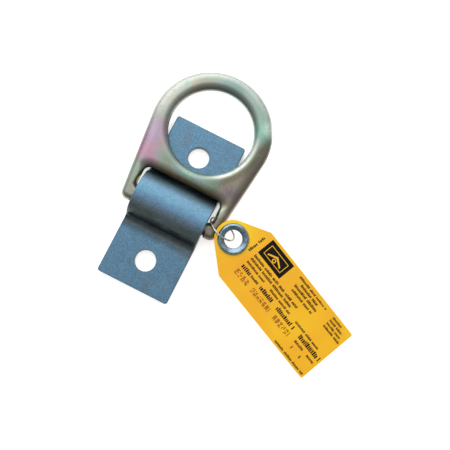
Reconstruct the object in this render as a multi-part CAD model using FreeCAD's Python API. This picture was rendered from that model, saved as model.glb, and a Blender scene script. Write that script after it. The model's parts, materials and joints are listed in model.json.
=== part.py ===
import FreeCAD, Part
import math
import os

# Bolt-on D-ring anchor: a steel strap bracket with a hump, a forged D-ring whose
# base bar turns inside the hump, a wire ring round the D-ring's leg, and an
# inspection tag with a two-piece grommet that hangs on the wire ring.
#
# Frame (millimetres): the bracket's flat feet stand on z = 0, the origin is midway
# between its two bolt holes, the strap runs along Y and the hump's axis along X.
# The D-ring lies back over the +Y foot and the tag lies out towards +X.

# --- bracket -----------------------------------------------------------------
STRAP_WIDTH = 50.8
STRAP_THICKNESS = 6.35
STRAP_LENGTH = 116.0
BOLT_SPACING = 77.0
BOLT_HOLE_RADIUS = 7.15
FOOT_CORNER_RADIUS = 1.6
STRAP_EDGE_RADIUS = 0.6
HOLE_EDGE_RADIUS = 0.35
HUMP_OUTER_RADIUS = 16.25
HUMP_CENTRE_HEIGHT = 6.35
HUMP_ROOT_RADIUS = 4.5          # the hollow bend between a foot and the hump

# --- D-ring ------------------------------------------------------------------
RING_THICKNESS = 8.0
RING_GAP = 0.3                  # between the lying D-ring and the foot below it
EYE_RADIUS = 28.575
RING_OUTER_RADIUS = 41.0
EYE_CENTRE_Y = 56.7
BASE_WIDTH = 67.8
BASE_CORNER_RADIUS = 4.6
BASE_BOTTOM_Y = -8.3            # the base's two ends, outside the strap
BAR_BOTTOM_Y = -7.1             # the bar between them, inside the hump
BAR_WAIST_WIDTH = 52.4
BAR_TOP_Y = 1.7
SLOT_TOP_Y = 17.6
SLOT_WIDTH = 55.6
SLOT_CORNER_RADIUS = 4.0
EYE_EDGE_RADIUS = 3.4
BAR_EDGE_RADIUS = 3.85          # the bar is rounded almost to a full round
LEG_OUTER_EDGE_RADIUS = 3.0
RING_OUTER_EDGE_RADIUS = 3.6
SLOT_EDGE_RADIUS = 2.6

# --- tag and grommet ---------------------------------------------------------
# In the tag's own plane the origin is the grommet's axis and +x runs to the far end.
TAG_THICKNESS = 0.9
TAG_HALF_WIDTH = 22.2
TAG_NOSE_RADIUS = 12.5
TAG_SHOULDER_X = 12.5
TAG_END_X = 99.6
TAG_CORNER_RADIUS = 1.2
TAG_HOLE_RADIUS = 6.65
TAG_HEADING = -23.9             # degrees from +X
TAG_SLOPE = 7.65                # degrees that the far end dips
TAG_FLOOR_GAP = 0.15
GROMMET_X = 45.1
GROMMET_Y = -0.4
GROMMET_BORE_RADIUS = 6.0
GROMMET_FLANGE_RADIUS = 10.5
GROMMET_BARREL_WALL = 0.6
GROMMET_CROWN_HEIGHT = 1.9
GROMMET_CREST_RADIUS = 8.9      # the flange is dished: its crest is nearer its rim than its bore
GROMMET_THROAT_HEIGHT = 0.3
GROMMET_FUNNEL_BOW = 0.25       # how far each curve of the flange stands off its chord
GROMMET_RIM_BOW = 0.4
WASHER_THICKNESS = 0.9
ROLL_RADIUS = 8.4
ROLL_THICKNESS = 0.6

# --- wire ring ---------------------------------------------------------------
WIRE_RADIUS = 0.6
WIRE_RING_RADIUS = 9.9
WIRE_RING_CENTRE = (35.84, 2.76, 9.93)
WIRE_RING_LEAN = 30.2           # degrees that its plane leans from upright, its top towards -Y
WIRE_RING_HEADING = -18.7       # degrees from +X to the level line in its plane

HINGE_Y = (BAR_BOTTOM_Y + BAR_TOP_Y) / 2
HINGE_Z = STRAP_THICKNESS + RING_GAP + RING_THICKNESS / 2


def vec(x, y, z=0.0):
    return FreeCAD.Vector(x, y, z)


def line(a, b):
    return Part.LineSegment(a, b).toShape()


def arc(centre, radius, start_deg, end_deg, place):
    """An arc through three points; place turns two plane coordinates into a vector."""
    points = []
    for angle in (start_deg, (start_deg + end_deg) / 2, end_deg):
        a = math.radians(angle)
        points.append(place(centre[0] + radius * math.cos(a), centre[1] + radius * math.sin(a)))
    return Part.Arc(*points).toShape()


def solid_of(shape):
    """The one solid that a feature must leave."""
    if len(shape.Solids) != 1 or not shape.isValid():
        raise ValueError("a feature did not leave one valid solid")
    return shape.Solids[0]


def extruded(edges, direction):
    return Part.Face(Part.Wire(edges)).extrude(direction)


# --- bracket -----------------------------------------------------------------
def bracket():
    inner = HUMP_OUTER_RADIUS - STRAP_THICKNESS
    root_z = STRAP_THICKNESS + HUMP_ROOT_RADIUS
    reach = HUMP_OUTER_RADIUS + HUMP_ROOT_RADIUS
    tilt = math.degrees(math.asin((root_z - HUMP_CENTRE_HEIGHT) / reach))
    root_y = reach * math.cos(math.radians(tilt))
    end = STRAP_LENGTH / 2
    hump = (0.0, HUMP_CENTRE_HEIGHT)

    def at(y, z):
        return vec(-STRAP_WIDTH / 2, y, z)

    top = STRAP_THICKNESS
    outline = [
        line(at(end, top), at(root_y, top)),
        arc((root_y, root_z), HUMP_ROOT_RADIUS, 270, 180 + tilt, at),
        arc(hump, HUMP_OUTER_RADIUS, tilt, 180 - tilt, at),
        arc((-root_y, root_z), HUMP_ROOT_RADIUS, -tilt, -90, at),
        line(at(-root_y, top), at(-end, top)),
        line(at(-end, top), at(-end, 0)),
        line(at(-end, 0), at(-root_y, 0)),
        arc((-root_y, root_z), root_z, -90, -tilt, at),
        arc(hump, inner, 180 - tilt, tilt, at),
        arc((root_y, root_z), root_z, 180 + tilt, 270, at),
        line(at(root_y, 0), at(end, 0)),
        line(at(end, 0), at(end, top)),
    ]
    strap = extruded(outline, vec(STRAP_WIDTH, 0, 0))
    corners = [
        e for e in strap.Edges
        if abs(abs(e.CenterOfMass.y) - end) < 0.01 and abs(abs(e.CenterOfMass.x) - STRAP_WIDTH / 2) < 0.01
    ]
    strap = solid_of(strap.makeFillet(FOOT_CORNER_RADIUS, corners))
    rims = [e for e in strap.Edges if not is_vertical(e) and on_strap_rim(e, end)]
    strap = solid_of(strap.makeFillet(STRAP_EDGE_RADIUS, rims))
    for side in (-1, 1):
        hole = Part.makeCylinder(
            BOLT_HOLE_RADIUS, 3 * STRAP_THICKNESS, vec(0, side * BOLT_SPACING / 2, -STRAP_THICKNESS)
        )
        strap = strap.cut(hole)
    hole_rims = [e for e in strap.Edges if is_hole_rim(e)]
    return solid_of(strap.makeFillet(HOLE_EDGE_RADIUS, hole_rims))


def is_hole_rim(edge):
    """True for the level circles at the two ends of a bolt hole."""
    box = edge.BoundBox
    full = 2 * BOLT_HOLE_RADIUS
    return box.ZLength < 0.01 and abs(box.XLength - full) < 0.01 and abs(box.YLength - full) < 0.01


def is_vertical(edge):
    box = edge.BoundBox
    return box.ZLength > 0.5 and box.XLength < 0.01 and box.YLength < 0.01


def on_strap_rim(edge, end):
    """True for the edges that run round the strap's sides and ends."""
    middle = edge.CenterOfMass
    side = STRAP_WIDTH / 2 - FOOT_CORNER_RADIUS
    return abs(middle.x) > side or abs(middle.y) > end - FOOT_CORNER_RADIUS


# --- D-ring ------------------------------------------------------------------
def tangent_from(corner, centre, radius):
    """Where the line from corner just touches the right of a circle above it."""
    dx = centre[0] - corner[0]
    dy = centre[1] - corner[1]
    distance = math.hypot(dx, dy)
    heading = math.atan2(dy, dx) - math.asin(radius / distance)
    run = math.sqrt(distance ** 2 - radius ** 2)
    return (corner[0] + run * math.cos(heading), corner[1] + run * math.sin(heading), heading)


def d_ring_outline():
    """The D's outer outline: a round top, tapering legs and a straight base."""
    half = BASE_WIDTH / 2
    touch_x, touch_y, heading = tangent_from((half, BASE_BOTTOM_Y), (0, EYE_CENTRE_Y), RING_OUTER_RADIUS)
    lean = math.degrees(heading)
    setback = BASE_CORNER_RADIUS * math.tan(math.radians(lean) / 2)
    corner = (half - setback, BASE_BOTTOM_Y + BASE_CORNER_RADIUS)
    leg_start = (
        half + setback * math.cos(heading),
        BASE_BOTTOM_Y + setback * math.sin(heading),
    )
    end_angle = lean - 90
    return [
        line(vec(-corner[0], BASE_BOTTOM_Y), vec(corner[0], BASE_BOTTOM_Y)),
        arc(corner, BASE_CORNER_RADIUS, -90, end_angle, vec),
        line(vec(*leg_start), vec(touch_x, touch_y)),
        arc((0, EYE_CENTRE_Y), RING_OUTER_RADIUS, end_angle, 180 - end_angle, vec),
        line(vec(-touch_x, touch_y), vec(-leg_start[0], leg_start[1])),
        arc((-corner[0], corner[1]), BASE_CORNER_RADIUS, 180 - end_angle, 270, vec),
    ]


def slot_outline():
    x = SLOT_WIDTH / 2 - SLOT_CORNER_RADIUS
    low = BAR_TOP_Y + SLOT_CORNER_RADIUS
    high = SLOT_TOP_Y - SLOT_CORNER_RADIUS
    edges = []
    corners = [(x, low, -90), (x, high, 0), (-x, high, 90), (-x, low, 180)]
    for index, (cx, cy, start) in enumerate(corners):
        edges.append(arc((cx, cy), SLOT_CORNER_RADIUS, start, start + 90, vec))
        nx, ny, _ = corners[(index + 1) % 4]
        out = math.radians(start + 90)
        shift = vec(SLOT_CORNER_RADIUS * math.cos(out), SLOT_CORNER_RADIUS * math.sin(out))
        edges.append(line(vec(cx, cy) + shift, vec(nx, ny) + shift))
    return edges


def outline_rounding(point):
    """The outer outline's edge radius: fullest at the bar, leaner up the legs, full again at the ring."""
    if point.y < BASE_BOTTOM_Y + 0.01:
        return BAR_EDGE_RADIUS
    if point.y < EYE_CENTRE_Y - RING_OUTER_RADIUS:
        return LEG_OUTER_EDGE_RADIUS
    return RING_OUTER_EDGE_RADIUS


def slot_rounding(point):
    """The slot's edge radius: full along the bar, and leaner beside the narrow legs."""
    return BAR_EDGE_RADIUS if point.y < BAR_TOP_Y + 0.01 else SLOT_EDGE_RADIUS


def edge_rounding(edge):
    """The radii at an edge's two ends, or None for an edge that stays as it is."""
    if edge.BoundBox.ZLength > 0.01:
        return None
    if len(edge.Vertexes) == 1:
        return (EYE_EDGE_RADIUS, EYE_EDGE_RADIUS)
    inside = all(abs(v.X) < SLOT_WIDTH / 2 + 0.01 and BAR_TOP_Y - 0.01 < v.Y < SLOT_TOP_Y + 0.01
                 for v in edge.Vertexes)
    rounding = slot_rounding if inside else outline_rounding
    return tuple(rounding(v.Point) for v in edge.Vertexes)


def rounded_edges(shape, radii_of):
    """The shape with its edges rounded, each by the two end radii that radii_of gives it."""
    document = FreeCAD.newDocument("rounding")
    base = document.addObject("Part::Feature", "base")
    base.Shape = shape
    fillet = document.addObject("Part::Fillet", "fillet")
    fillet.Base = base
    picked = [(number, radii_of(edge)) for number, edge in enumerate(shape.Edges, 1)]
    fillet.Edges = [(number, radii[0], radii[1]) for number, radii in picked if radii]
    document.recompute()
    rounded = fillet.Shape.copy()
    FreeCAD.closeDocument(document.Name)
    return solid_of(rounded)


def waist_cutter():
    """What is cut off the base between its two ends, which leaves the bar round and its ends as shoulders."""
    def at(y, z):
        return vec(-BAR_WAIST_WIDTH / 2, y, z)

    radius = BAR_EDGE_RADIUS
    middle = BAR_BOTTOM_Y + radius
    top = RING_THICKNESS
    edges = [
        arc((middle, radius), radius, 270, 180, at),
        line(at(BAR_BOTTOM_Y, radius), at(BAR_BOTTOM_Y, top - radius)),
        arc((middle, top - radius), radius, 180, 90, at),
        line(at(middle, top), at(middle, 2 * top)),
        line(at(middle, 2 * top), at(2 * BASE_BOTTOM_Y, 2 * top)),
        line(at(2 * BASE_BOTTOM_Y, 2 * top), at(2 * BASE_BOTTOM_Y, -top)),
        line(at(2 * BASE_BOTTOM_Y, -top), at(middle, -top)),
        line(at(middle, -top), at(middle, 0)),
    ]
    return extruded(edges, vec(BAR_WAIST_WIDTH, 0, 0))


def d_ring():
    body = extruded(d_ring_outline(), vec(0, 0, RING_THICKNESS))
    body = body.cut(extruded(slot_outline(), vec(0, 0, RING_THICKNESS)))
    body = body.cut(Part.makeCylinder(EYE_RADIUS, RING_THICKNESS, vec(0, EYE_CENTRE_Y, 0)))
    body = rounded_edges(body, edge_rounding)
    body = solid_of(body.cut(waist_cutter()))
    body.translate(vec(0, 0, HINGE_Z - RING_THICKNESS / 2))
    return body


# --- tag, grommet and wire ring ------------------------------------------------
def tag_placement():
    """Takes the tag's own plane to where the tag leans, its far end near the floor."""
    drop = math.sin(math.radians(TAG_SLOPE))
    height = TAG_FLOOR_GAP + TAG_THICKNESS / 2 + TAG_END_X * drop
    heading = FreeCAD.Rotation(vec(0, 0, 1), TAG_HEADING)
    slope = FreeCAD.Rotation(vec(0, 1, 0), TAG_SLOPE)
    return FreeCAD.Placement(vec(GROMMET_X, GROMMET_Y, height), heading.multiply(slope))


def placed_on_tag(shape):
    shape.Placement = tag_placement().multiply(shape.Placement)
    return solid_of(shape)


def tag():
    """A flat sheet with a round nose, two tapering shoulders and a square far end."""
    shoulder = (TAG_SHOULDER_X, TAG_HALF_WIDTH)
    distance = math.hypot(*shoulder)
    touch = math.atan2(shoulder[1], shoulder[0]) + math.acos(TAG_NOSE_RADIUS / distance)
    touch_x = TAG_NOSE_RADIUS * math.cos(touch)
    touch_y = TAG_NOSE_RADIUS * math.sin(touch)
    touch_deg = math.degrees(touch)
    outline = [
        arc((0, 0), TAG_NOSE_RADIUS, touch_deg, 360 - touch_deg, vec),
        line(vec(touch_x, -touch_y), vec(shoulder[0], -shoulder[1])),
        line(vec(shoulder[0], -shoulder[1]), vec(TAG_END_X, -TAG_HALF_WIDTH)),
        line(vec(TAG_END_X, -TAG_HALF_WIDTH), vec(TAG_END_X, TAG_HALF_WIDTH)),
        line(vec(TAG_END_X, TAG_HALF_WIDTH), vec(*shoulder)),
        line(vec(*shoulder), vec(touch_x, touch_y)),
    ]
    sheet = extruded(outline, vec(0, 0, TAG_THICKNESS))
    corners = [e for e in sheet.Edges if is_vertical(e) and e.CenterOfMass.x > TAG_SHOULDER_X - 0.01]
    sheet = sheet.makeFillet(TAG_CORNER_RADIUS, corners)
    sheet = sheet.cut(Part.makeCylinder(TAG_HOLE_RADIUS, TAG_THICKNESS))
    sheet.translate(vec(0, 0, -TAG_THICKNESS / 2))
    return placed_on_tag(sheet)


def turned(edges):
    """A solid of revolution about the grommet's axis, from a closed outline in radius and height."""
    return placed_on_tag(Part.Face(Part.Wire(edges)).revolve(vec(0, 0), vec(0, 0, 1), 360))


def radial(r, z):
    return vec(r, 0, z)


def bowed(a, b, bow):
    """An arc from a to b whose middle stands off their chord, to the left of the way from a to b."""
    chord = b - a
    aside = vec(-chord.z, 0, chord.x).normalize()
    return Part.Arc(a, (a + b) / 2 + aside * bow, b).toShape()


def grommet_eyelet():
    """The front half: a dished flange, a barrel through the tag and a rolled end behind the washer."""
    face = TAG_THICKNESS / 2
    bore = GROMMET_BORE_RADIUS
    barrel = bore + GROMMET_BARREL_WALL
    back = -face - WASHER_THICKNESS
    crown = face + GROMMET_CROWN_HEIGHT
    throat = face + GROMMET_THROAT_HEIGHT
    outer = GROMMET_FLANGE_RADIUS
    crest = GROMMET_CREST_RADIUS
    bend = ROLL_THICKNESS / math.sqrt(2)
    lower = back - ROLL_THICKNESS
    edges = [
        line(radial(bore, back), radial(bore, throat)),
        bowed(radial(bore, throat), radial(crest, crown), GROMMET_FUNNEL_BOW),
        bowed(radial(crest, crown), radial(outer, face), GROMMET_RIM_BOW),
        line(radial(outer, face), radial(barrel, face)),
        line(radial(barrel, face), radial(barrel, back)),
        line(radial(barrel, back), radial(ROLL_RADIUS, back)),
        line(radial(ROLL_RADIUS, back), radial(ROLL_RADIUS, lower)),
        line(radial(ROLL_RADIUS, lower), radial(barrel, lower)),
        Part.Arc(
            radial(barrel, lower), radial(barrel - bend, lower + ROLL_THICKNESS - bend), radial(bore, back)
        ).toShape(),
    ]
    return turned(edges)


def grommet_washer():
    """The back half: a plain ring clamped under the tag by the eyelet's rolled end."""
    face = -TAG_THICKNESS / 2
    inner = TAG_HOLE_RADIUS
    outer = GROMMET_FLANGE_RADIUS
    back = face - WASHER_THICKNESS
    slope = WASHER_THICKNESS / 2
    edges = [
        line(radial(inner, face), radial(outer, face)),
        line(radial(outer, face), radial(outer - slope, back)),
        line(radial(outer - slope, back), radial(inner, back)),
        line(radial(inner, back), radial(inner, face)),
    ]
    return turned(edges)


def wire_ring_axis():
    lean = math.radians(WIRE_RING_LEAN)
    heading = math.radians(WIRE_RING_HEADING)
    return vec(-math.sin(heading) * math.cos(lean), math.cos(heading) * math.cos(lean), math.sin(lean))


def wire_ring():
    return Part.makeTorus(WIRE_RING_RADIUS, WIRE_RADIUS, vec(*WIRE_RING_CENTRE), wire_ring_axis())


PIECES = {
    "bracket": bracket,
    "d_ring": d_ring,
    "tag_ring": wire_ring,
    "tag": tag,
    "grommet_eyelet": grommet_eyelet,
    "grommet_washer": grommet_washer,
}


def main():
    os.makedirs("parts", exist_ok=True)
    for name, make in PIECES.items():
        make().exportStep(os.path.join("parts", name + ".step"))


if __name__ == "__main__":
    main()
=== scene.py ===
import json
import math
import random

import bmesh
import bpy
import numpy as np
from mathutils import Matrix, Vector


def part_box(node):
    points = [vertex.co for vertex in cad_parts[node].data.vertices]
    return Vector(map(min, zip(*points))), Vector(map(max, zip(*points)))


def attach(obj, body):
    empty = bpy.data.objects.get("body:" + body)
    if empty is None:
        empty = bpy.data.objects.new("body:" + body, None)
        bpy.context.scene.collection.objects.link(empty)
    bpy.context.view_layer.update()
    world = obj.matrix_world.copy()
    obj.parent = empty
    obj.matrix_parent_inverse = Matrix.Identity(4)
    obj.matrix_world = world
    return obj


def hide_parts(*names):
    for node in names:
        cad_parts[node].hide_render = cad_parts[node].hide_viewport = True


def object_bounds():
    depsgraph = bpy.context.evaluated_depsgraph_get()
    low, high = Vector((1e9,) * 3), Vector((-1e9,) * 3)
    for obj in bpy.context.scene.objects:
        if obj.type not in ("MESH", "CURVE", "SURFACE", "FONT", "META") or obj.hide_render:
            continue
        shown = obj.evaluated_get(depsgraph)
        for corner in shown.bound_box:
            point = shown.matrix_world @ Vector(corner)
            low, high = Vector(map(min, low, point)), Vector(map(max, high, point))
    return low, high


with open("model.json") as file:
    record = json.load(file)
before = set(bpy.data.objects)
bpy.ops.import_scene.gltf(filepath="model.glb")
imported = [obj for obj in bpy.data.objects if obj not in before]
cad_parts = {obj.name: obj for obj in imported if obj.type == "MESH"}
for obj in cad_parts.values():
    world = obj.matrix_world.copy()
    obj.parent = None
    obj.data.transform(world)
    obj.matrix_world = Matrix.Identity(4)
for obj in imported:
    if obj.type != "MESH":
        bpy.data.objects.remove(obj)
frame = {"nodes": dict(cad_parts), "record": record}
cad_low, cad_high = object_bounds()

MM = 0.001
EYE = next(mount for mount in frame["record"]["mounts"] if mount["name"] == "eye")
EYE_CENTRE = [c / MM for c in EYE["pos_m"]]

# --- camera ------------------------------------------------------------------
# Almost overhead, with the object turned in the picture. The place looked at is on
# the plane that the feet stand on, beside the hinge.
CAMERA_AZIMUTH = 9.381
CAMERA_ELEVATION = 83.833
CAMERA_ROLL = 17.603
CAMERA_DISTANCE = 450 * MM
CAMERA_TARGET = Vector((35.946, 6.869, 0)) * MM
CAMERA_LENS = 53.64
SENSOR_WIDTH = 36.0
CAMERA_NEAR, CAMERA_FAR = 0.01, 20      # how near and far the camera sees, in metres

# --- light and floor, in metres where nothing else is said ----------------------
KEY_DIRECTION = Vector((-0.37, 0.64, 0.67))     # towards the bright side of the studio
STUDIO_LEVELS = [                               # nearness to that side, and brightness there
    (-1.00, 0.14), (-0.34, 0.24), (0.05, 0.40), (0.35, 0.52),
    (0.62, 0.80), (0.78, 1.35), (0.90, 2.20), (1.00, 2.60),
]
STUDIO_TINT = (0.96, 0.985, 1.0)
BACKDROP_LEVEL = 1.0            # brightness of the studio where it is seen and not reflected
FILL_SIZE = 0.7
FILL_HEIGHT = 0.9
FILL_POWER = 1.7
FLOOR_RADIUS = 8.0
FLOOR_SIDES = 96
FLOOR_DROP = 0.02 * MM          # how far under the feet it is, so that no two faces coincide
FLOOR_GLOW = 0.6                # own light of open floor; tight gaps have none
FLOOR_GAP = 14.0 * MM           # how near something has to be to close the floor in
GLOW_OPENNESS = (0.10, 0.28)    # open share of the floor's sky where the glow starts, and is full
SHADE_OPENNESS = (0.12, 0.28)   # the same for the change from the painted gap shade to the pale tone

# --- colours, as red, green and blue from 0 to 255 ------------------------------
ZINC_FLAT = (105, 143, 169)
ZINC_LIGHT = (124, 166, 190)
ZINC_DARK = (76, 106, 128)
ZINC_SMOKE = (112, 124, 130)
# painted shade for the strap's walls
ZINC_WALL_SHADE = (46, 56, 62)
SPECK_DARK = (84, 84, 84)
SPECK_LIGHT = (168, 168, 168)
FORGING_CREAM = (141, 143, 133)
FORGING_MINT = (124, 150, 133)
FORGING_ROSE = (145, 124, 137)
FORGING_STRAW = (141, 137, 103)
FORGING_TEAL = (112, 141, 139)
FORGING_OLIVE = (97, 96, 78)
# painted shade for the ring's shaded side
FORGING_SHADE_BROWN = (133, 121, 107)
# painted highlight for the ring's rims and lit edge
FORGING_HIGHLIGHT_PALE = (206, 211, 200)
# painted shade for walls
FORGING_WALL_SHADE = (114, 109, 88)
FORGING_GOLD = (112, 96, 62)
FORGING_RUST = (128, 78, 58)
STEEL_LIGHT = (132, 154, 168)
STEEL_DARK = (98, 112, 124)
WIRE_LIGHT = (220, 224, 222)
WIRE_DARK = (120, 124, 120)
TAG_YELLOW = (244, 204, 16)
TAG_ORANGE = (233, 168, 24)
TAG_AMBER = (230, 146, 24)
# painted shade for tight gaps in the floor
FLOOR_GAP_SHADE = (70, 72, 66)
FLOOR_GREY = (226, 226, 226)
FLOOR_WHITE = (232, 232, 232)
INK_BLACK = (10, 7, 3)
INK_BROWN = (128, 66, 18)
INK_FADE = 26                   # how much paler ink is where it has worn


def linear(colour):
    """A 0 to 255 colour as the linear values that a shader takes."""
    parts = []
    for value in colour:
        share = value / 255
        parts.append(share / 12.92 if share <= 0.04045 else ((share + 0.055) / 1.055) ** 2.4)
    return (*parts, 1.0)


# --- material kit --------------------------------------------------------------
# A Mix node's colour sockets go by number, because its number, vector and colour
# sockets share their names.
MIX_FIRST, MIX_SECOND, MIX_RESULT = 6, 7, 2
NOISE_RANGE = (0.3, 0.7)        # the part of 0 to 1 that noise mostly stays in


def set_stops(ramp, stops):
    """Gives a colour ramp its stops, each a position and a linear colour."""
    elements = ramp.color_ramp.elements
    while len(elements) < len(stops):
        elements.new(0.5)
    for element, (position, colour) in zip(elements, stops):
        element.position = position
        element.color = colour


class Paint:
    """One node material. Most calls add nodes and return the socket that carries their result."""

    def __init__(self, name, metallic=0.0, roughness=0.5, specular=0.5):
        self.material = bpy.data.materials.new(name)
        self.material.use_nodes = True
        self.nodes = self.material.node_tree.nodes
        self.links = self.material.node_tree.links
        self.shader = self.nodes["Principled BSDF"]
        self.shader.inputs["Metallic"].default_value = metallic
        self.shader.inputs["Roughness"].default_value = roughness
        self.shader.inputs["Specular IOR Level"].default_value = specular
        self.place = self.nodes.new("ShaderNodeTexCoord")

    def feed(self, socket, value):
        """A socket takes a link from another socket, or a plain value."""
        if isinstance(value, bpy.types.NodeSocket):
            self.links.new(value, socket)
        else:
            socket.default_value = value

    def at(self):
        """The place on the piece, in the frame."""
        return self.place.outputs["Object"]

    def part(self, axis, source="Object"):
        """One coordinate of the place, or with "Normal" of the way that the surface faces."""
        parts = self.nodes.new("ShaderNodeSeparateXYZ")
        self.feed(parts.inputs[0], self.place.outputs[source])
        return parts.outputs[axis]

    def facing_up(self):
        """1 where the surface faces up, 0 on its walls, -1 underneath."""
        return self.part("Z", "Normal")

    def share(self, value, low, high):
        """The value's share of the way from low to high, in proportion."""
        node = self.nodes.new("ShaderNodeMapRange")
        self.feed(node.inputs["Value"], value)
        node.inputs["From Min"].default_value = low
        node.inputs["From Max"].default_value = high
        return node.outputs["Result"]

    def vector(self, kind, first, second):
        """A vector node that works on a socket and a plain vector."""
        node = self.nodes.new("ShaderNodeVectorMath")
        node.operation = kind
        self.feed(node.inputs[0], first)
        node.inputs[1].default_value = second
        return node

    def noise(self, size, detail=3.0, roughness=0.5, distortion=0.0):
        """Cloudy noise whose features are about that many millimetres across."""
        node = self.nodes.new("ShaderNodeTexNoise")
        self.feed(node.inputs["Vector"], self.at())
        node.inputs["Scale"].default_value = 1 / (size * MM)
        node.inputs["Detail"].default_value = detail
        node.inputs["Roughness"].default_value = roughness
        node.inputs["Distortion"].default_value = distortion
        return node.outputs["Fac"]

    def cells(self, size):
        """Distance from scattered centres that many millimetres apart."""
        node = self.nodes.new("ShaderNodeTexVoronoi")
        self.feed(node.inputs["Vector"], self.at())
        node.inputs["Scale"].default_value = 1 / (size * MM)
        return node.outputs["Distance"]

    def span(self, value, low, high, to_low=0.0, to_high=1.0):
        """The value's share of the way from low to high, smooth and held at the ends."""
        node = self.nodes.new("ShaderNodeMapRange")
        node.interpolation_type = "SMOOTHSTEP"
        self.feed(node.inputs["Value"], value)
        for name, number in (
            ("From Min", low), ("From Max", high), ("To Min", to_low), ("To Max", to_high),
        ):
            node.inputs[name].default_value = number
        return node.outputs["Result"]

    def stretched(self, noise, to_low=0.0, to_high=1.0):
        """Noise spread from to_low to to_high, because it seldom leaves the middle of its own range."""
        return self.span(noise, *NOISE_RANGE, to_low, to_high)

    def ramp(self, value, stops):
        """A run of colours by position."""
        node = self.nodes.new("ShaderNodeValToRGB")
        self.feed(node.inputs["Fac"], value)
        set_stops(node, [(position, linear(colour)) for position, colour in stops])
        return node.outputs["Color"]

    def mix(self, share, first, second, kind="MIX"):
        """The first colour going over to the second as the share goes from 0 to 1."""
        node = self.nodes.new("ShaderNodeMix")
        node.data_type = "RGBA"
        node.blend_type = kind
        self.feed(node.inputs["Factor"], share)
        self.feed(node.inputs[MIX_FIRST], first)
        self.feed(node.inputs[MIX_SECOND], second)
        return node.outputs[MIX_RESULT]

    def math(self, kind, first, second):
        node = self.nodes.new("ShaderNodeMath")
        node.operation = kind
        self.feed(node.inputs[0], first)
        self.feed(node.inputs[1], second)
        return node.outputs[0]

    def near(self, centre, reach):
        """1 at a place given in millimetres, fading to 0 at reach millimetres from it."""
        distance = self.vector("DISTANCE", self.at(), [c * MM for c in centre])
        return self.span(distance.outputs["Value"], reach * MM, 0.0)

    def along(self, start, heading, low, high):
        """0 to 1 from low to high millimetres past a start, in a level direction given in degrees."""
        angle = math.radians(heading)
        offset = self.vector("SUBTRACT", self.at(), [c * MM for c in start])
        run = self.vector("DOT_PRODUCT", offset.outputs["Vector"], (math.cos(angle), math.sin(angle), 0))
        return self.span(run.outputs["Value"], low * MM, high * MM)

    def off_axis(self, centre, low, high):
        """0 to 1 from low to high millimetres away from an upright axis."""
        offset = self.vector("SUBTRACT", self.at(), [c * MM for c in centre])
        level = self.vector("MULTIPLY", offset.outputs["Vector"], (1, 1, 0))
        length = self.nodes.new("ShaderNodeVectorMath")
        length.operation = "LENGTH"
        self.feed(length.inputs[0], level.outputs["Vector"])
        return self.span(length.outputs["Value"], low * MM, high * MM)

    def times(self, *shares):
        """The product of several shares."""
        result = shares[0]
        for share in shares[1:]:
            result = self.math("MULTIPLY", result, share)
        return result

    def tinted(self, tone, value, low, high, strength, colour):
        """The tone, covered by a colour up to strength as the value goes from low to high."""
        return self.mix(self.span(value, low, high, 0.0, strength), tone, linear(colour))

    def patched(self, tone, centre, reach, strength, colour):
        """The tone with a soft round patch, its centre and reach in millimetres."""
        return self.mix(self.times(self.near(centre, reach), strength), tone, linear(colour))

    def colour(self, socket):
        self.links.new(socket, self.shader.inputs["Base Color"])

    def rough(self, noise, low, high):
        """Roughness that wavers with the noise from low to high."""
        self.links.new(self.stretched(noise, low, high), self.shader.inputs["Roughness"])

    def bump(self, height, depth, strength=1.0):
        """Relief from a 0 to 1 height that stands for depth millimetres."""
        node = self.nodes.new("ShaderNodeBump")
        node.inputs["Strength"].default_value = strength
        node.inputs["Distance"].default_value = depth * MM
        self.links.new(height, node.inputs["Height"])
        self.links.new(node.outputs["Normal"], self.shader.inputs["Normal"])


# --- materials -----------------------------------------------------------------
# Tones of the zinc across the strap, by distance in millimetres from the hump's middle:
# painted shade in the hollow bend and below the hump, and a painted highlight over the crown.
HUMP_SHADE_AND_HIGHLIGHT_TONES = [
    (-26.0, ZINC_FLAT), (-22.0, (81, 100, 112)), (-18.0, (97, 107, 104)), (-15.5, (112, 118, 112)),
    (-12.5, (76, 84, 80)), (-10.0, (126, 137, 138)), (-6.0, (143, 166, 185)), (-3.0, (134, 171, 199)),
    (0.0, (116, 163, 191)), (3.5, (106, 147, 171)), (8.0, (112, 147, 171)), (12.0, (95, 119, 132)),
    (17.0, (90, 112, 122)), (25.0, ZINC_FLAT),
]
SPECK_STRENGTH = 0.55


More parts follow.
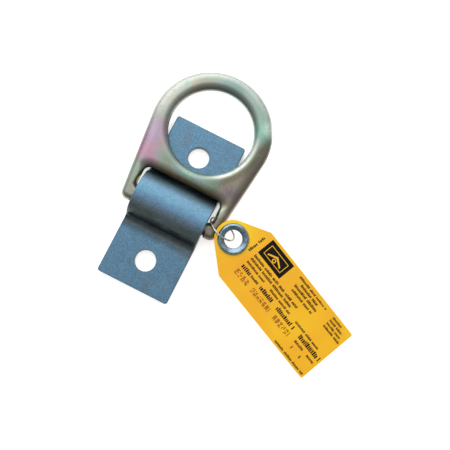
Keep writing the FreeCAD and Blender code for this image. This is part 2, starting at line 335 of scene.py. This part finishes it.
def zinc_material():
    """Blue-bright zinc on hot-rolled strap: a fine sandy grain over soft cloudy patches, with painted shade
    and a painted highlight across the hump and painted shade on the walls.
    """
    paint = Paint("zinc_strap", metallic=0.92, roughness=0.34)
    first = HUMP_SHADE_AND_HIGHLIGHT_TONES[0][0]
    last = HUMP_SHADE_AND_HIGHLIGHT_TONES[-1][0]
    stops = [((y - first) / (last - first), colour) for y, colour in HUMP_SHADE_AND_HIGHLIGHT_TONES]
    # painted shade and a painted highlight across the hump, by place along the strap
    tone = paint.ramp(paint.share(paint.part("Y"), first * MM, last * MM), stops)
    cloud = paint.noise(9, detail=4, roughness=0.6)
    smoke = paint.noise(17, detail=2, distortion=0.8)
    grain = paint.noise(0.55, detail=2, roughness=0.7)
    mottle = paint.noise(2.6, detail=2, roughness=0.6)
    for value, low, high, strength, colour in (
        (cloud, 0.5, 0.75, 0.28, ZINC_LIGHT),
        (cloud, 0.5, 0.25, 0.28, ZINC_DARK),
        (mottle, 0.5, 0.72, 0.35, ZINC_SMOKE),
        (smoke, 0.55, 0.75, 0.4, ZINC_SMOKE),
    ):
        tone = paint.tinted(tone, value, low, high, strength, colour)
    speck = paint.ramp(paint.span(grain, 0.35, 0.65), [(0.0, SPECK_DARK), (1.0, SPECK_LIGHT)])
    tone = paint.mix(SPECK_STRENGTH, tone, speck, "OVERLAY")
    # painted shade on the strap's walls, where the surface turns away from the light
    paint.colour(paint.tinted(tone, paint.facing_up(), 0.45, 0.05, 1.0, ZINC_WALL_SHADE))
    paint.rough(cloud, 0.29, 0.4)
    paint.bump(grain, 0.02, 0.6)
    return paint.material


# Slow drift of tones over the whole forging, by the noise's value.
FORGING_DRIFT = [
    (0.0, FORGING_ROSE), (0.3, FORGING_STRAW), (0.5, FORGING_CREAM),
    (0.75, FORGING_MINT), (1.0, FORGING_TEAL),
]
DRIFT_STRENGTH = 0.6
# Patches of the passivated forging, partly its own dichromate tints and partly painted highlights and painted
# shade on its lit and shaded sides: centre and reach in millimetres, strength, colour.
FORGING_TINT_AND_LIGHT_PATCHES = [
    ((0, 95, 12), 22, 0.80, (104, 124, 121)),
    ((-20, 90, 12), 14, 0.75, (122, 130, 123)),
    ((-34, 73, 12), 18, 0.80, (167, 167, 157)),
    ((-38, 58, 12), 15, 0.80, (173, 170, 161)),
    ((-34, 39, 12), 17, 1.00, (158, 130, 156)),
    ((-32, 26, 12), 12, 1.00, (172, 124, 149)),
    ((-26, 22, 14), 8, 0.85, (165, 124, 144)),
    ((17, 87, 12), 14, 0.70, (125, 150, 146)),
    ((29, 73, 12), 15, 0.85, (123, 169, 152)),
    ((35, 76, 12), 9, 0.90, (215, 236, 219)),
    ((0, 24, 14), 9, 0.80, (127, 157, 140)),
    ((-16, 26, 14), 10, 0.80, (111, 129, 113)),
    ((16, 25, 14), 9, 0.80, (107, 123, 104)),
    ((30, 25, 13), 9, 0.90, (102, 89, 98)),
    ((-33, 8, 11), 12, 0.80, (140, 152, 136)),
    ((-27.5, 9, 10), 6.5, 0.95, (209, 228, 117)),
    ((28.5, 12, 12), 7, 0.95, (178, 198, 173)),
    ((33, -2, 11), 9, 0.80, (117, 111, 88)),
]
PAINTED_SHADE_HEADING = -22            # the side of the ring, from its eye, that is turned from the key light and gets painted shade
PAINTED_HIGHLIGHT_HEADING = 112               # the side that faces the key light, whose outer edge gets a painted highlight
# Bands down one side of the ring, painted shade with a painted highlight on its inner rim: heading, where the
# band sets in and is full in millimetres out from the eye's axis and then along the heading, strength,
# colour.
PAINTED_SHADE_SIDE_BANDS = [
    (PAINTED_SHADE_HEADING, (31.6, 33.8), (25, 31), 0.90, FORGING_OLIVE),
    (PAINTED_SHADE_HEADING, (35.0, 38.0), (30, 35), 0.80, FORGING_SHADE_BROWN),
    (PAINTED_SHADE_HEADING, (32.4, 30.8), (18, 27), 0.85, FORGING_HIGHLIGHT_PALE),
]
# A painted highlight down the outer edge of the ring on its lit side.
PAINTED_HIGHLIGHT_BAND = (PAINTED_HIGHLIGHT_HEADING, (35.0, 39.5), (-12, 20), 0.60, FORGING_HIGHLIGHT_PALE)
# The gold streak along the slot's upper edge, and the rust specks over it.
GOLD_FROM, GOLD_TO, GOLD_FADE = 14, 22, 3
GOLD_CENTRE, GOLD_REACH = (0, 18, 14), 40
GOLD_STRENGTH = 1.4             # over 1, so that the streak is full well before its middle
RUST_SPACING = 2.1
RUST_CENTRE, RUST_REACH = (4, 20, 14), 30
RUST_STRENGTH = 0.6


def banded(paint, tone, heading, outward, onward, strength, colour):
    """The tone with one band of the ring in a colour."""
    on_ring = paint.off_axis(EYE_CENTRE, *outward)
    on_side = paint.along(EYE_CENTRE, heading, *onward)
    return paint.mix(paint.times(on_ring, on_side, strength), tone, linear(colour))


def forging_material():
    """Yellow dichromate on a forging: cream and mint with rose, teal and plum drifts, with painted shade on
    the side turned from the key light and painted highlights on the lit side.
    """
    paint = Paint("dichromate_forging", metallic=0.92, roughness=0.3)
    drift = paint.noise(20, detail=3, roughness=0.55, distortion=0.6)
    grain = paint.noise(0.8, detail=3, roughness=0.7)
    mottle = paint.noise(3.0, detail=3, roughness=0.6)
    tone = paint.ramp(paint.stretched(drift), FORGING_DRIFT)
    tone = paint.mix(DRIFT_STRENGTH, linear(FORGING_CREAM), tone)
    # painted shade and a painted inner-rim highlight on the ring's shaded side
    for band in PAINTED_SHADE_SIDE_BANDS:
        tone = banded(paint, tone, *band)
    # patches of the dichromate's own tints, partly painted highlights and painted shade
    for patch in FORGING_TINT_AND_LIGHT_PATCHES:
        tone = paint.patched(tone, *patch)
    # painted highlight along the outer edge on the lit side
    tone = banded(paint, tone, *PAINTED_HIGHLIGHT_BAND)
    gold = paint.times(
        paint.along((0, GOLD_TO, 0), -90, 0, GOLD_FADE),
        paint.along((0, GOLD_FROM, 0), 90, 0, GOLD_FADE),
        paint.near(GOLD_CENTRE, GOLD_REACH),
        GOLD_STRENGTH,
    )
    tone = paint.mix(gold, tone, linear(FORGING_GOLD))
    for value, low, high, strength, colour in (
        (grain, 0.5, 0.75, 0.35, FORGING_OLIVE),
        (mottle, 0.52, 0.72, 0.35, FORGING_ROSE),
        (mottle, 0.48, 0.28, 0.35, FORGING_TEAL),
    ):
        tone = paint.tinted(tone, value, low, high, strength, colour)
    near_centres = paint.span(paint.cells(RUST_SPACING), 0.26, 0.1)
    specks = paint.times(near_centres, paint.near(RUST_CENTRE, RUST_REACH), RUST_STRENGTH)
    tone = paint.mix(specks, tone, linear(FORGING_RUST))
    # painted shade on walls, where the surface turns away from the light
    paint.colour(paint.tinted(tone, paint.facing_up(), 0.4, 0.0, 0.4, FORGING_WALL_SHADE))
    paint.rough(drift, 0.25, 0.36)
    paint.bump(grain, 0.03, 0.6)
    return paint.material


def grommet_material():
    """Rolled steel, brighter where it is worn."""
    paint = Paint("grommet_steel", metallic=0.95, roughness=0.24)
    cloud = paint.noise(2.5, detail=3, roughness=0.5)
    paint.colour(paint.ramp(paint.stretched(cloud), [(0.0, STEEL_DARK), (0.5, STEEL_LIGHT)]))
    paint.rough(cloud, 0.18, 0.3)
    paint.bump(paint.noise(0.5), 0.01, 0.4)
    return paint.material


def wire_material():
    """Drawn wire with faint scuffs."""
    paint = Paint("bright_wire", metallic=0.95, roughness=0.3)
    scuff = paint.noise(1.2, detail=4, roughness=0.7)
    paint.colour(paint.ramp(paint.stretched(scuff), [(0.0, WIRE_DARK), (1.0, WIRE_LIGHT)]))
    paint.rough(scuff, 0.24, 0.42)
    return paint.material


# Painted light and painted shade on the tag, a brighter yellow patch and a shaded amber one: centre and reach
# in millimetres, strength, colour.
TAG_LIGHT_AND_SHADE_PATCHES = [
    ((44, 4, 13), 24, 0.85, TAG_YELLOW),
    ((60, -10, 11), 13, 0.50, TAG_AMBER),
]
TAG_EVENNESS = 0.7              # how far the sheet's own drift of tones is evened out


def tag_material(name):
    """Plastic sheet: two close tones in soft drifts, with a faint leathery surface and patches of painted
    light and shade.
    """
    paint = Paint(name, roughness=0.42, specular=0.35)
    drift = paint.noise(30, detail=2, roughness=0.5)
    mottle = paint.noise(1.6, detail=3, roughness=0.6)
    tone = paint.ramp(paint.span(drift, 0.35, 0.65), [(0.0, TAG_YELLOW), (1.0, TAG_ORANGE)])
    tone = paint.mix(TAG_EVENNESS, tone, linear(TAG_ORANGE))
    tone = paint.tinted(tone, mottle, 0.45, 0.75, 0.25, TAG_ORANGE)
    # patches of painted light and painted shade on the sheet
    for patch in TAG_LIGHT_AND_SHADE_PATCHES:
        tone = paint.patched(tone, *patch)
    paint.colour(tone)
    paint.rough(mottle, 0.38, 0.5)
    paint.bump(mottle, 0.02, 0.5)
    return paint.material


def ink_material(name, colour):
    """Screen ink, thin enough that its tone wavers."""
    paint = Paint(name, roughness=0.65, specular=0.12)
    wear = paint.noise(0.7, detail=3, roughness=0.6)
    faded = tuple(min(255, c + INK_FADE) for c in colour)
    paint.colour(paint.ramp(paint.span(wear, 0.35, 0.75), [(0.0, colour), (1.0, faded)]))
    return paint.material


def floor_material():
    """White floor that glows a little where it lies open, so that only tight gaps go dark, with painted shade
    in those gaps.
    """
    paint = Paint("studio_floor", roughness=0.9, specular=0.1)
    haze = paint.ramp(paint.noise(400, detail=1), [(0.0, FLOOR_GREY), (1.0, FLOOR_WHITE)])
    sky = paint.nodes.new("ShaderNodeAmbientOcclusion")
    sky.inputs["Distance"].default_value = FLOOR_GAP
    openness = sky.outputs["AO"]
    # painted shade where the floor is closed in
    paint.colour(paint.mix(paint.span(openness, *SHADE_OPENNESS), linear(FLOOR_GAP_SHADE), haze))
    glow = paint.span(openness, *GLOW_OPENNESS, 0.0, FLOOR_GLOW)
    paint.shader.inputs["Emission Color"].default_value = (1, 1, 1, 1)
    paint.links.new(glow, paint.shader.inputs["Emission Strength"])
    return paint.material


# --- mesh kit --------------------------------------------------------------------
def piece_from(mesh_builder, name, material, body):
    """A new mesh object built by mesh_builder(bm), riding on a body."""
    bm = bmesh.new()
    mesh_builder(bm)
    bmesh.ops.recalc_face_normals(bm, faces=bm.faces)
    mesh = bpy.data.meshes.new(name)
    bm.to_mesh(mesh)
    bm.free()
    mesh.materials.append(material)
    piece = bpy.data.objects.new(name, mesh)
    bpy.context.scene.collection.objects.link(piece)
    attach(piece, body)
    return piece


def prism(bm, points, low, high, place):
    """A closed prism on an outline; place(x, y, z) turns the plane's millimetres into the frame."""
    count = len(points)
    bottom = [bm.verts.new(place(x, y, low)) for x, y in points]
    top = [bm.verts.new(place(x, y, high)) for x, y in points]
    bm.faces.new(bottom[::-1])
    bm.faces.new(top)
    for i in range(count):
        j = (i + 1) % count
        bm.faces.new((bottom[i], bottom[j], top[j], top[i]))


def rectangle(x0, y0, x1, y1):
    return [(x0, y0), (x1, y0), (x1, y1), (x0, y1)]


def circle(x, y, radius, sides):
    angles = [math.tau * k / sides for k in range(sides)]
    return [(x + radius * math.cos(angle), y + radius * math.sin(angle)) for angle in angles]


# --- D-ring forging ------------------------------------------------------------------
# Plan and section of the forging in millimetres; its box and its eye come from the frame.
BASE_HALF_WIDTH = 33.9
BASE_CORNER_RADIUS = 4.6
WAIST_DEPTH = 1.2               # the bar is this much narrower between the base's two ends
WAIST_HALF_WIDTH = 26.2
WAIST_RAMP = (0.7, -0.3)        # where the waist starts and is full, past its half width
SLOT_LOW, SLOT_HIGH = 1.7, 17.6
SLOT_HALF_WIDTH = 27.8
SLOT_CORNER_RADIUS = 4.0
EYE_SHOULDER = 4.7              # how far in from the eye the section is rounded
SLOT_SHOULDERS = (3.9, 2.6, 6.4)    # the same from the slot: at the bar, at the legs, and below the eye
OUTER_SHOULDERS = (3.9, 8.2)    # the same from the outside: at the bar, and round the ring
PLATE_BLEND = 6                 # under the slot's top edge, where the leg's shoulder becomes the plate's
BAR_BLEND = 3                   # over its bottom edge, where the bar's shoulder becomes the leg's
RING_BLEND = 12                 # under the eye's centre, where the ring's outer shoulder is reached
REMESH_SIZE = 0.6               # side of a voxel, and so the size of the forging's faces
SETTLE_STEPS = 7
SETTLE_PROBE = 0.02             # how far apart the section is sampled for its slope
LEAST_SLOPE = 1e-6              # keeps a flat spot from being divided by nothing
SMOOTHING_ROUNDS = 3


def ease(value, low, high):
    """0 below low, 1 above high and smooth in between."""
    share = np.clip((value - low) / (high - low), 0, 1)
    return share * share * (3 - 2 * share)


def forging_section():
    """A function of points in millimetres: below 0 inside the forging, 0 on its skin, above 0 outside.

    Each boundary of the plan rounds the section over its own shoulder, and the sum
    of them is smooth where the metal is too narrow for both.
    """
    eye_radius = EYE["dims"]["r_mm"]
    low, high = (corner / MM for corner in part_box("d_ring"))
    outer_radius = (high.x - low.x) / 2
    centre_y = high.y - outer_radius
    middle_z = (low.z + high.z) / 2
    half_depth = (high.z - low.z) / 2
    rise = centre_y - low.y
    distance = math.hypot(BASE_HALF_WIDTH, rise)
    lean = math.atan2(rise, -BASE_HALF_WIDTH) - math.asin(outer_radius / distance)
    leg = (math.cos(lean), math.sin(lean))
    setback = BASE_CORNER_RADIUS * math.tan(lean / 2)
    corner = (BASE_HALF_WIDTH - setback, low.y + BASE_CORNER_RADIUS)

    def outline_depth(x, y):
        """How far inside the outer outline a point of the plan is."""
        side = np.abs(x)
        rise_y = y - centre_y
        leg_depth = outer_radius - (side * leg[1] - rise_y * leg[0])
        waist = WAIST_DEPTH * ease(side, *(WAIST_HALF_WIDTH + past for past in WAIST_RAMP))
        straight = np.minimum(leg_depth, y - low.y - waist)
        in_corner = (side > corner[0]) & ((side - corner[0]) * leg[0] + (y - corner[1]) * leg[1] < 0)
        rounded = BASE_CORNER_RADIUS - np.hypot(side - corner[0], y - corner[1])
        depth = np.where(in_corner, rounded, straight)
        in_ring = side * leg[0] + rise_y * leg[1] > 0
        return np.where(in_ring, outer_radius - np.hypot(side, rise_y), depth)

    def slot_depth(x, y):
        """How far outside the slot, and so inside the metal, a point of the plan is."""
        half_height = (SLOT_HIGH - SLOT_LOW) / 2
        out_x = np.abs(x) - (SLOT_HALF_WIDTH - SLOT_CORNER_RADIUS)
        out_y = np.abs(y - (SLOT_HIGH + SLOT_LOW) / 2) - (half_height - SLOT_CORNER_RADIUS)
        outside = np.hypot(np.maximum(out_x, 0), np.maximum(out_y, 0))
        return outside + np.minimum(np.maximum(out_x, out_y), 0) - SLOT_CORNER_RADIUS

    def section(points):
        x, y, z = points.T
        above_slot = ease(y, SLOT_HIGH - PLATE_BLEND, SLOT_HIGH)
        up_the_legs = ease(y, SLOT_LOW, centre_y - RING_BLEND)
        beside_slot = ease(y, SLOT_LOW, SLOT_LOW + BAR_BLEND)
        at_bar, at_legs, at_plate = SLOT_SHOULDERS
        slot_shoulder = at_bar + (at_legs - at_bar) * beside_slot + (at_plate - at_legs) * above_slot
        outer_at_bar, outer_at_ring = OUTER_SHOULDERS
        outer_shoulder = outer_at_bar + (outer_at_ring - outer_at_bar) * up_the_legs
        total = ((z - middle_z) / half_depth) ** 2 - 1
        for depth, shoulder in (
            (outline_depth(x, y), outer_shoulder),
            (slot_depth(x, y), slot_shoulder),
            (np.hypot(x, y - centre_y) - eye_radius, EYE_SHOULDER),
        ):
            total = total + np.maximum(0, 1 - depth / shoulder) ** 2
        return total

    return section


def settled(points, section):
    """The points moved on to the section's skin, straight along its steepest way."""
    offsets = np.eye(3) * SETTLE_PROBE
    for _ in range(SETTLE_STEPS):
        rises = [section(points + offset) - section(points - offset) for offset in offsets]
        slope = np.stack([rise / (2 * SETTLE_PROBE) for rise in rises], axis=1)
        steepness = np.maximum((slope ** 2).sum(axis=1), LEAST_SLOPE)
        points = points - slope * (section(points) / steepness)[:, None]
    return points


def neighbour_average(points, edges):
    """Each point moved halfway to the middle of the points it shares an edge with."""
    total = np.zeros_like(points)
    count = np.zeros(len(points))
    for a, b in (edges.T, edges.T[::-1]):
        np.add.at(total, a, points[b])
        np.add.at(count, a, 1)
    return (points + total / count[:, None]) / 2


def forging_piece(material):
    """The D-ring with the crowned section of a forging, in place of the plainly rounded CAD node."""
    draft = bpy.data.objects.new("draft", frame["nodes"]["d_ring"].data.copy())
    bpy.context.scene.collection.objects.link(draft)
    remesh = draft.modifiers.new("remesh", "REMESH")
    remesh.mode = "VOXEL"
    remesh.voxel_size = REMESH_SIZE * MM
    mesh = bpy.data.meshes.new_from_object(draft.evaluated_get(bpy.context.evaluated_depsgraph_get()))
    bpy.data.objects.remove(draft)
    points = np.array([v.co for v in mesh.vertices], float) / MM
    edges = np.array([e.vertices[:] for e in mesh.edges])
    section = forging_section()
    for _ in range(SMOOTHING_ROUNDS):
        points = settled(neighbour_average(points, edges), section)
    mesh.vertices.foreach_set("co", (points * MM).astype(np.float32).ravel())
    mesh.shade_smooth()
    mesh.materials.clear()
    mesh.materials.append(material)
    mesh.name = "d_ring_forging"
    piece = bpy.data.objects.new("d_ring_forging", mesh)
    bpy.context.scene.collection.objects.link(piece)
    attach(piece, "d_ring")
    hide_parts("d_ring")


# --- the tag's own plane -----------------------------------------------------------
FRONT_FACING = 0.9              # least upward part of the normal of a face on the tag's front


def tag_plane():
    """place(x, y, z) in millimetres: the origin on the grommet's axis at the tag's front face.

    The tag dips along its own length, so its long side runs straight down the slope.
    """
    tag = frame["nodes"]["tag"].data
    normal = Vector((0, 0, 0))
    for face in tag.polygons:
        if face.normal.z > FRONT_FACING:
            normal += face.normal * face.area
    normal.normalize()
    along = (Vector((0, 0, -1)) + normal * normal.z).normalized()
    across = normal.cross(along)
    eyelet = [v.co for v in frame["nodes"]["grommet_eyelet"].data.vertices]

    def middle(axis):
        spots = [co.dot(axis) for co in eyelet]
        return (min(spots) + max(spots)) / 2

    front = max(v.co.dot(normal) for v in tag.vertices)
    origin = along * middle(along) + across * middle(across) + normal * front

    def place(x, y, z):
        return origin + (along * x + across * y + normal * z) * MM

    return place


# --- print -------------------------------------------------------------------------
INK_RISE = 0.03                 # how far print stands above the tag
# Rows of stand-in print in millimetres: start and end along the tag, middle across it, height.
FINE_ROWS = [
    (17.0, 62.0, 4.6, 2.0), (17.0, 59.0, 1.6, 1.9),
    (17.0, 35.0, -1.7, 1.7), (41.0, 62.0, -1.7, 1.7), (68.0, 92.0, -1.7, 1.7),
    (47.0, 75.0, 19.0, 1.6), (52.0, 69.0, 16.1, 1.9), (49.0, 72.0, 13.0, 2.0), (50.0, 71.0, 9.7, 1.8),
    (82.0, 92.0, 19.4, 1.7), (82.0, 95.0, 16.7, 1.7), (82.0, 96.0, 14.0, 1.7), (82.0, 98.0, 11.3, 1.7),
    (26.0, 34.0, -5.8, 1.8),
    (77.5, 86.0, -10.0, 1.8), (90.0, 98.0, -10.0, 1.8),
    (79.0, 80.4, -14.4, 2.2), (87.3, 89.0, -14.4, 2.2),
    (69.0, 98.0, -20.0, 1.7),
]
BOLD_ROWS = [
    (17.0, 25.6, -5.6, 3.2), (35.5, 48.0, -5.6, 3.1), (53.0, 71.0, -5.6, 3.1), (77.0, 97.0, -5.6, 3.4),
]
STAMPED_ROWS = [(17.2, 29.6, -11.0, 3.2), (33.4, 51.0, -11.0, 2.9), (56.4, 71.6, -11.0, 3.0)]
UPRIGHT_ROW = (3.4, 17.6, 12.2, 1.9)            # runs across the tag beside the grommet
FINE_STROKE = 0.52
BOLD_STROKE = 0.9
WORD_LENGTHS = (3.0, 6.5)       # shortest and longest word, in letter heights
WORD_SPACE = 0.55               # the same for the gap between words
STROKE_HEIGHTS = (0.75, 0.75, 0.9, 1.0)     # heights a stroke may have, in letter heights
STROKE_WIDTHS = (0.8, 1.4)      # narrowest and widest stroke, in stroke widths
STROKE_SPACES = (0.3, 0.55)     # the same for the gap between strokes
FINE_SEED, STAMP_SEED = 11, 5
STAMP_LEVELS = 5                # dots up a stamped mark
STAMP_COLUMNS = 4               # columns from one mark to the next, the last of them empty
STAMP_GAPS = 0.25               # share of dots left out
DOT_SIDES = 8


def strokes(bm, row, place, dice, stroke, upright=False):
    """Word-like groups of short upright strokes, all of them nobody's letters."""
    start, end, middle, height = row
    x = start
    word_end = start
    while x < end - stroke:
        if x >= word_end:
            word_end = x + dice.uniform(*WORD_LENGTHS) * height
            x += 0.0 if x == start else WORD_SPACE * height
        width = stroke * dice.uniform(*STROKE_WIDTHS)
        tall = height * dice.choice(STROKE_HEIGHTS)
        low = middle - height / 2
        box = rectangle(x, low, min(x + width, end), low + tall)
        if upright:
            box = [(middle - (py - middle), px) for px, py in box]
        prism(bm, box, 0.0, INK_RISE, place)
        x += width + stroke * dice.uniform(*STROKE_SPACES)


def fine_print(place):
    """All the rows of stand-in print."""
    def build(bm):
        dice = random.Random(FINE_SEED)
        for row in FINE_ROWS:
            strokes(bm, row, place, dice, FINE_STROKE)
        for row in BOLD_ROWS:
            strokes(bm, row, place, dice, BOLD_STROKE)
        strokes(bm, UPRIGHT_ROW, place, dice, BOLD_STROKE, upright=True)
    return build


def stamped_print(place):
    """Needle-stamped marks: columns of small round dots with some left out."""
    def build(bm):
        dice = random.Random(STAMP_SEED)
        for start, end, middle, height in STAMPED_ROWS:
            pitch = height / (STAMP_LEVELS - 1)
            column = 0
            x = start
            while x < end:
                for level in range(STAMP_LEVELS):
                    if column % STAMP_COLUMNS == STAMP_COLUMNS - 1 or dice.random() < STAMP_GAPS:
                        continue
                    y = middle - height / 2 + level * pitch
                    prism(bm, circle(x, y, pitch / 2, DOT_SIDES), 0.0, INK_RISE, place)
                column += 1
                x += pitch
    return build


# The block beside the rows, and the plain picture in it, in the tag's millimetres.
BLOCK = (16.8, 7.2, 39.2, 20.2)
BLOCK_INSET = 2.6
FRAME_LINE = 0.45
ROOF_HALF, ROOF_RISE, ROOF_LINE = 6.2, 3.4, 1.5
ROOF_TAPER = 0.4                # how much thinner the roof's line is at the eaves
EAVES_HEIGHT = 2.4              # over the frame's lower side
RING_OUTER, RING_INNER, RING_SIDES = 1.5, 0.8, 24
RING_DROP = 0.3                 # the ring's centre under the eaves


def block(place):
    """The solid dark block."""
    def build(bm):
        prism(bm, rectangle(*BLOCK), 0.0, INK_RISE, place)
    return build


def block_mark(place):
    """A plain picture in the dark block: a frame, a roof's chevron and a ring under its ridge."""
    x0, y0 = (corner + BLOCK_INSET for corner in BLOCK[:2])
    x1, y1 = (corner - BLOCK_INSET for corner in BLOCK[2:])
    low, high = INK_RISE, 2 * INK_RISE
    line = FRAME_LINE
    mid_x = (x0 + x1) / 2
    eaves = y0 + EAVES_HEIGHT
    ridge = eaves + ROOF_RISE

    def build(bm):
        for bar in (
            rectangle(x0, y0, x1, y0 + line), rectangle(x0, y1 - line, x1, y1),
            rectangle(x0, y0 + line, x0 + line, y1 - line), rectangle(x1 - line, y0 + line, x1, y1 - line),
        ):
            prism(bm, bar, low, high, place)
        for side in (-1, 1):
            end_x = mid_x + side * ROOF_HALF
            slope = [
                (mid_x, ridge), (end_x, eaves),
                (end_x, eaves - ROOF_LINE + ROOF_TAPER), (mid_x, ridge - ROOF_LINE),
            ]
            prism(bm, slope if side < 0 else slope[::-1], low, high, place)
        inner = circle(mid_x, eaves - RING_DROP, RING_INNER, RING_SIDES)
        outer = circle(mid_x, eaves - RING_DROP, RING_OUTER, RING_SIDES)
        for k in range(RING_SIDES):
            onward = (k + 1) % RING_SIDES
            prism(bm, [inner[k], outer[k], outer[onward], inner[onward]], low, high, place)
    return build


# --- studio --------------------------------------------------------------------------
def make_floor():
    """A wide disc just under the feet."""
    bm = bmesh.new()
    bm.faces.new([bm.verts.new((x, y, 0)) for x, y in circle(0, 0, FLOOR_RADIUS, FLOOR_SIDES)])
    mesh = bpy.data.meshes.new("floor")
    bm.to_mesh(mesh)
    bm.free()
    mesh.materials.append(floor_material())
    floor = bpy.data.objects.new("floor", mesh)
    floor.location.z = cad_low.z - FLOOR_DROP
    bpy.context.scene.collection.objects.link(floor)


def make_world():
    """A soft studio: bright towards the key side, mid overhead and dim opposite.

    Seen directly, past the floor's edge, it is one pale tone.
    """
    world = bpy.data.worlds.new("studio")
    bpy.context.scene.world = world
    world.use_nodes = True
    nodes, links = world.node_tree.nodes, world.node_tree.links
    background = nodes["Background"]
    where = nodes.new("ShaderNodeTexCoord")
    nearness = nodes.new("ShaderNodeVectorMath")
    nearness.operation = "DOT_PRODUCT"
    links.new(where.outputs["Generated"], nearness.inputs[0])
    nearness.inputs[1].default_value = KEY_DIRECTION.normalized()
    share = nodes.new("ShaderNodeMapRange")
    share.inputs["From Min"].default_value = -1
    links.new(nearness.outputs["Value"], share.inputs["Value"])
    ramp = nodes.new("ShaderNodeValToRGB")
    links.new(share.outputs["Result"], ramp.inputs["Fac"])
    peak = max(level for _, level in STUDIO_LEVELS)
    stops = []
    for near, level in STUDIO_LEVELS:
        stops.append(((near + 1) / 2, (*(level / peak * tint for tint in STUDIO_TINT), 1)))
    set_stops(ramp, stops)
    seen = nodes.new("ShaderNodeLightPath")
    backdrop = nodes.new("ShaderNodeMix")
    backdrop.data_type = "RGBA"
    links.new(seen.outputs["Is Camera Ray"], backdrop.inputs["Factor"])
    links.new(ramp.outputs["Color"], backdrop.inputs[MIX_FIRST])
    backdrop.inputs[MIX_SECOND].default_value = (*[BACKDROP_LEVEL / peak] * 3, 1)
    links.new(backdrop.outputs[MIX_RESULT], background.inputs["Color"])
    background.inputs["Strength"].default_value = peak


def make_fill():
    """A broad soft light overhead that brightens matt surfaces and leaves reflections alone."""
    data = bpy.data.lights.new("fill", "AREA")
    data.shape = "DISK"
    data.size = FILL_SIZE
    data.energy = FILL_POWER
    fill = bpy.data.objects.new("fill", data)
    fill.location = ((cad_low + cad_high) / 2).xy.to_3d() + Vector((0, 0, FILL_HEIGHT))
    fill.visible_glossy = False
    fill.visible_camera = False
    bpy.context.scene.collection.objects.link(fill)


def make_camera():
    """A camera that looks at its target from an azimuth and elevation, rolled about its own line of sight."""
    azimuth, elevation, roll = (
        math.radians(d) for d in (CAMERA_AZIMUTH, CAMERA_ELEVATION, CAMERA_ROLL)
    )
    level = Vector((math.cos(azimuth), math.sin(azimuth), 0))
    outward = Vector((math.sin(azimuth), -math.cos(azimuth), 0))
    back = outward * math.cos(elevation) + Vector((0, 0, math.sin(elevation)))
    upward = back.cross(level)
    right = level * math.cos(roll) + upward * math.sin(roll)
    up = upward * math.cos(roll) - level * math.sin(roll)
    data = bpy.data.cameras.new("camera")
    data.sensor_width = SENSOR_WIDTH
    data.lens = CAMERA_LENS
    data.clip_start = CAMERA_NEAR
    data.clip_end = CAMERA_FAR
    camera = bpy.data.objects.new("camera", data)
    camera.matrix_world = Matrix.Translation(CAMERA_TARGET + back * CAMERA_DISTANCE) @ (
        Matrix((right, up, back)).transposed().to_4x4()
    )
    bpy.context.scene.collection.objects.link(camera)
    bpy.context.scene.camera = camera


def dress_frame():
    """Each CAD piece gets its own finish in place of the plain one it came with."""
    grommet = grommet_material()
    finishes = {
        "bracket": zinc_material(),
        "tag_ring": wire_material(),
        "tag": tag_material("tag_plastic"),
        "grommet_eyelet": grommet,
        "grommet_washer": grommet,
    }
    for name, material in finishes.items():
        for spot in frame["nodes"][name].material_slots:
            spot.material = material


def print_tag():
    """Everything printed or stamped on the tag's front."""
    place = tag_plane()
    black = ink_material("ink_black", INK_BLACK)
    piece_from(fine_print(place), "tag_print", black, "tag")
    piece_from(stamped_print(place), "tag_stamped_marks", ink_material("ink_brown", INK_BROWN), "tag")
    piece_from(block(place), "tag_block", black, "tag")
    piece_from(block_mark(place), "tag_block_mark", tag_material("ink_yellow"), "tag")


make_camera()
make_world()
make_fill()
make_floor()
dress_frame()
forging_piece(forging_material())
print_tag()
bpy.context.scene.view_settings.view_transform = "Standard"
